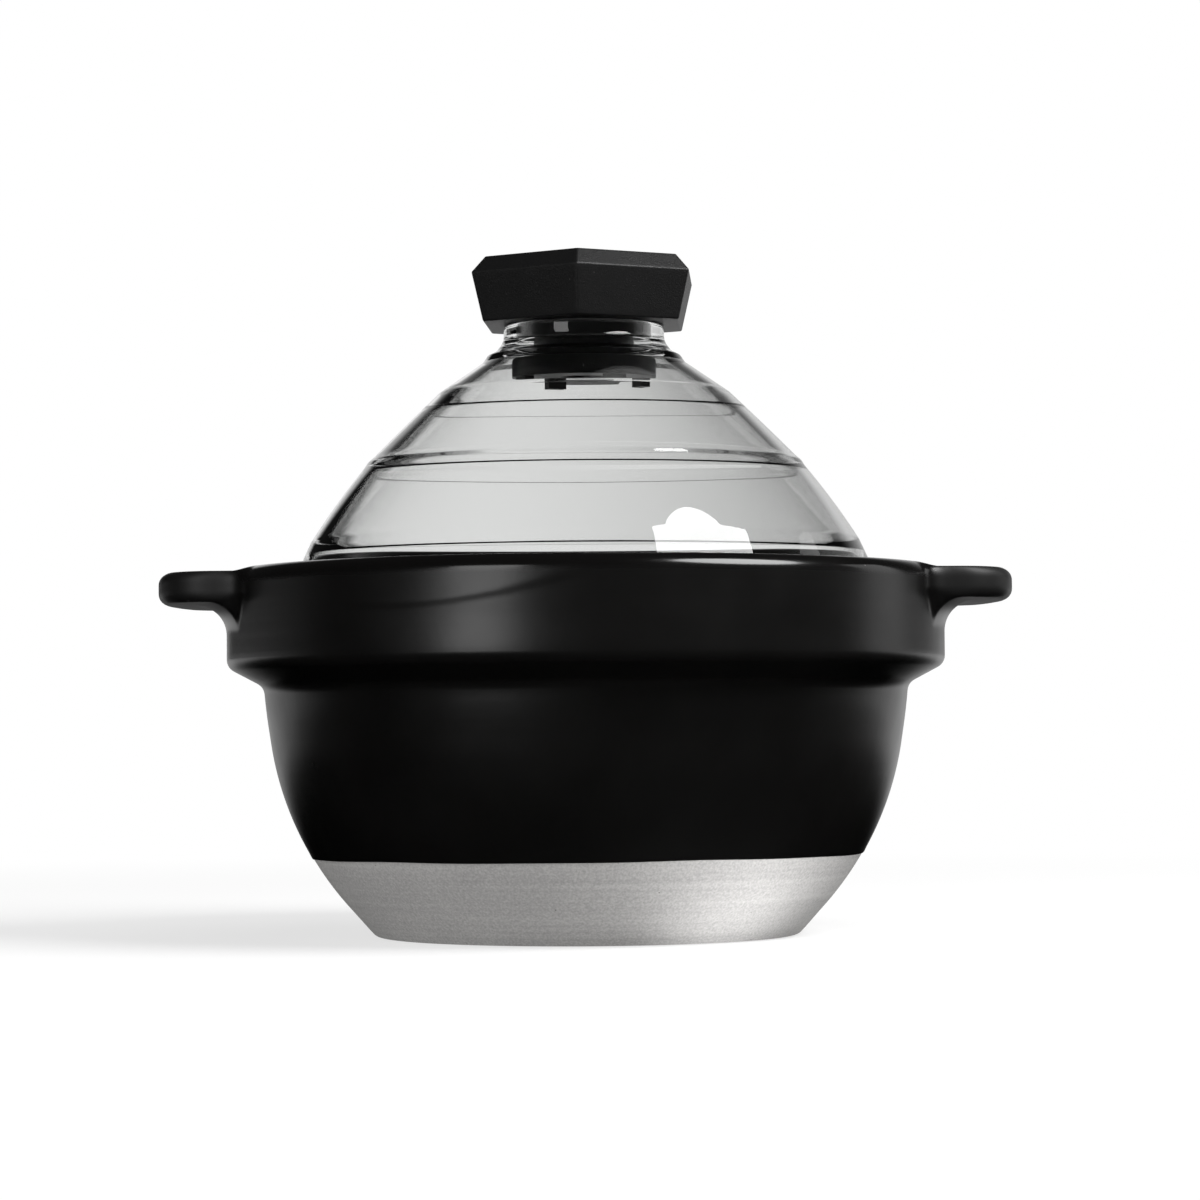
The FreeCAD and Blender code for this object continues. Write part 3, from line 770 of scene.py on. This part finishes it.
steel_colour = (0.62, 0.61, 0.59, 1)
steel_roughness = 0.24
steel_unevenness = 0.16
whistle_steel, shader, place = new_material("whistle_steel", {"Base Color": steel_colour, "Metallic": 1.0})
(steel_roughness + steel_unevenness * place.noise(scale=900.0)).into(shader, "Roughness")
for node in ("whistle_cup", "whistle_cover"):
    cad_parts[node].material_slots[0].material = whistle_steel


# Knob: a six-sided cap of black silicone, drawn in towards its foot and chamfered on top. It is moulded
# round a socket that grips the plug's post, and a hole in its top lets the steam out.

knob_low, knob_high = [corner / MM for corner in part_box("knob_cap")]
knob_sides = 6
knob_pitch = math.tau / knob_sides
knob_foot_radius = 33.5
knob_shoulder_radius = 37.2
knob_top_radius = 32.6
knob_chamfer = 4.9
knob_shoulder = knob_high.z - knob_chamfer
knob_ease = 0.7
knob_turn = math.radians(-93)
steam_hole = 3.0
steam_hole_ease = 0.4
socket_radius = 14.08
socket_gap = 0.1
socket_ease = 0.3
socket_top = plug_high.z + socket_gap
corner_steps = 4
flank_steps = [0.02, 0.06, 0.2, 0.35, 0.5, 0.65, 0.8, 0.94, 0.98]
hexagonal_from = 31.0
round_to = 20.0


def knob_ring(radius):
    """One level of the knob in plan (mm): a hexagon with eased corners outside, a circle within."""
    hexagon = []
    reach = max(radius, hexagonal_from) - knob_ease / math.cos(knob_pitch / 2)
    for side in range(knob_sides):
        spoke = knob_turn + side * knob_pitch
        for step in range(corner_steps + 1):
            bent = spoke + knob_pitch * (step / corner_steps - 0.5)
            hexagon.append(Vector((reach * math.cos(spoke) + knob_ease * math.cos(bent),
                                   reach * math.sin(spoke) + knob_ease * math.sin(bent))))
        start = hexagon[-1]
        spoke += knob_pitch
        bent = spoke - knob_pitch / 2
        end = Vector((reach * math.cos(spoke) + knob_ease * math.cos(bent),
                      reach * math.sin(spoke) + knob_ease * math.sin(bent)))
        hexagon += [start.lerp(end, share) for share in flank_steps]
    circular = 1 - smooth((radius - round_to) / (hexagonal_from - round_to))
    ring = []
    for point in hexagon:
        scaled = point * (radius / max(radius, hexagonal_from))
        ring.append(scaled.lerp(point.normalized() * radius, circular))
    return ring


knob_outline = rounded([
    Corner(socket_radius, knob_low.z, socket_ease, rows=10),
    Corner(knob_foot_radius, knob_low.z, knob_ease, rows=12),
    Corner(knob_shoulder_radius, knob_shoulder, knob_ease, rows=8),
    Corner(knob_top_radius, knob_high.z, knob_ease, rows=16),
    Corner(steam_hole, knob_high.z, steam_hole_ease, rows=5),
    Corner(steam_hole, socket_top, socket_ease, rows=5),
    Corner(socket_radius, socket_top, socket_ease, rows=5),
], closed=True)
vertices = []
for point in knob_outline:
    vertices += [(spot.x * MM, spot.y * MM, point.y * MM) for spot in knob_ring(point.x)]
around = len(vertices) // len(knob_outline)
faces = []
for row in range(len(knob_outline)):
    low, high = row * around, (row + 1) % len(knob_outline) * around
    for column in range(around):
        beside = (column + 1) % around
        faces.append((low + column, low + beside, high + beside, high + column))
knob = new_piece("knob", vertices, faces, black_silicone)
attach(knob, "cap")
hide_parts("knob_cap")


# Studio: a pale table with white paper behind it, a round softbox high on the right, a tall one in front on
# the left and a diffuser on the right. The room before the pot is dark to what mirrors it, and a small pool
# of light is painted as a glow into the table at the front right, unseen by the camera, to light the bare
# clay.

floor_half = 12.0
floor_sink = 0.0002
floor_shade = 0.36
shade_inside, shade_outside = 0.25, 0.75
dark_front, light_rear = -0.15, 0.1
paper_from, paper_to = 0.15, 0.5
paper_left, paper_right = 0.7, 0.9
paper_turn = 0.1
pool_place = (0.058, -0.078, 0)
pool_radius = 0.05
pool_glow = 4.0
floor_paint, shader, place = new_material("pale_table", {
    "Roughness": 1.0, "Specular IOR Level": 0.0, "Emission Strength": 1.0,
})
distance = place.node("ShaderNodeVectorMath", {"operation": "LENGTH"}, {0: place}, "Value")
near = distance.fade(shade_outside, shade_inside)
ray = place.node("ShaderNodeLightPath", {}, {}, "Is Camera Ray")
through = ray.also("Is Transmission Ray")
mirrored = ray.also("Is Glossy Ray") * (1 - through)
paint = floor_shade * near * (1 - mirrored)
paint.node("ShaderNodeCombineColor", {}, {0: paint, 1: paint, 2: paint}).into(shader, "Base Color")
rearward = place.node("ShaderNodeSeparateXYZ", {}, {0: place}, "Y")
rightward = rearward.also("X")
plain = ray.maths("MAXIMUM", ray, ray.also("Is Diffuse Ray"))
bounced = ray.also("Glossy Depth").fade(0.0, 1.0)
plain = ray.maths("MAXIMUM", plain, through * (1 - bounced * rearward.fade(light_rear, dark_front)))
paper_tone = paper_left + (paper_right - paper_left) * rightward.fade(-paper_turn, paper_turn)
paper = rearward.fade(paper_from, paper_to) * paper_tone
# Painted light: a glowing patch in the table's emission, seen only by diffuse rays, lights the bare clay from
# the front right.
pool = place.node("ShaderNodeVectorMath", {"operation": "DISTANCE"}, {0: place, 1: pool_place}, "Value")
pool = pool_glow * pool.fade(pool_radius, 0.0) * ray.also("Is Diffuse Ray")
glow = (1 - floor_shade * near) * plain + mirrored * paper + pool
glow.node("ShaderNodeCombineColor", {}, {0: glow, 1: glow, 2: glow}).into(shader, "Emission Color")
below = place.node("ShaderNodeNewGeometry", {}, {}, "Backfacing")
(1 - below).into(shader, "Alpha")
table_corners = [(-1, -1), (1, -1), (1, 1), (-1, 1)]
table = new_piece("table", [(x * floor_half, y * floor_half, -floor_sink) for x, y in table_corners],
                  [(0, 1, 2, 3)], floor_paint)

fill_left, fill_right = 0.2, 0.7
fill_turn = 0.6
grey_drop = 0.3
grey_from, grey_to = -0.06, 0.12
rear_from, rear_to = 0.3, 0.5
dark_left_from, dark_left_to = -0.19, -0.27
ceiling_from, ceiling_to = 0.18, 0.4
ceiling_tone = 0.1
dark_room = 0.97
dark_room_turn = 0.2
mirror_from, mirror_to = 0.7, 0.95
mirror_low, mirror_high = 0.25, 0.6
mirror_left_from, mirror_left_to = -0.28, -0.38
mirror_dim, mirror_glow = 0.02, 0.85
world = bpy.data.worlds.new("studio")
world.use_nodes = True
bpy.context.scene.world = world
background = world.node_tree.nodes["Background"]
background.inputs["Color"].default_value = (1, 1, 1, 1)
room = Socket(world.node_tree)
way = room.node("ShaderNodeTexCoord", {}, {}, "Generated")
behind = way.node("ShaderNodeSeparateXYZ", {}, {0: way}, "Y")
above = behind.also("Z")
aside = behind.also("X")
ray = room.node("ShaderNodeLightPath", {}, {}, "Is Camera Ray")
through = ray.also("Is Transmission Ray")
mirrored = ray.also("Is Glossy Ray")
fill = fill_left + (fill_right - fill_left) * aside.fade(-fill_turn, fill_turn)
grey_right = 1 - grey_drop * aside.fade(grey_from, grey_to)
rear = behind.fade(rear_from, rear_to)
dark_left = 1 - rear * aside.fade(dark_left_from, dark_left_to)
ceiling = ceiling_tone + (1 - ceiling_tone) * above.fade(ceiling_to, ceiling_from)
bounced = ray.also("Glossy Depth").fade(0.0, 1.0)
front_room = 1 - dark_room * bounced * behind.fade(dark_room_turn, -dark_room_turn)
seen_through = grey_right * dark_left * ceiling * front_room
rear_paper = behind.fade(mirror_from, mirror_to) * above.fade(mirror_high, mirror_low)
rear_paper = rear_paper * (1 - rear * aside.fade(mirror_left_from, mirror_left_to))
seen_mirrored = mirror_dim + mirror_glow * grey_right * rear_paper
unseen = through * seen_through + (1 - through) * (mirrored * seen_mirrored + (1 - mirrored) * fill)
(ray + (1 - ray) * unseen).into(background, "Strength")

aim = Vector((0, 0, 0.11))


def softbox(name, way, distance, width, height, glow, shape="RECTANGLE"):
    """A lamp that faces the pot from a direction, with the brightness of its face."""
    lamp = bpy.data.lights.new(name, "AREA")
    lamp.shape = shape
    lamp.size, lamp.size_y = width, height
    lamp.energy = glow * math.pi * width * height
    holder = bpy.data.objects.new(name, lamp)
    way = Vector(way).normalized()
    holder.location = aim + way * distance
    holder.rotation_euler = way.to_track_quat("Z", "Y").to_euler()
    holder.visible_camera = False
    holder.visible_transmission = False
    bpy.context.scene.collection.objects.link(holder)


softbox("key", way=(0.613, -0.383, 0.691), distance=1.15, width=0.71, height=0.71, glow=9.0, shape="ELLIPSE")
softbox("left_strip", way=(-0.537, -0.843, 0.24), distance=1.3, width=0.46, height=0.85, glow=3.5)
softbox("right_diffuser", way=(0.93, 0.25, 0.25), distance=1.4, width=0.5, height=0.8, glow=1.0)


# Camera: a long lens about a metre from the pot, low and straight in front. It is turned up slightly and not
# quite level, as it was when the photograph was taken.

camera_distance = 1.078
camera_height = 0.060
pitch = math.radians(2.115)
yaw = math.radians(-0.215)
roll = math.radians(0.4)
lens = bpy.data.cameras.new("camera")
lens.lens = 108
lens.sensor_width = 36
camera = bpy.data.objects.new("camera", lens)
camera.location = (0, -camera_distance, camera_height)
camera.rotation_euler = Euler((math.pi / 2 + pitch, roll, yaw))
bpy.context.scene.collection.objects.link(camera)
bpy.context.scene.camera = camera
bpy.context.scene.view_settings.view_transform = "Standard"
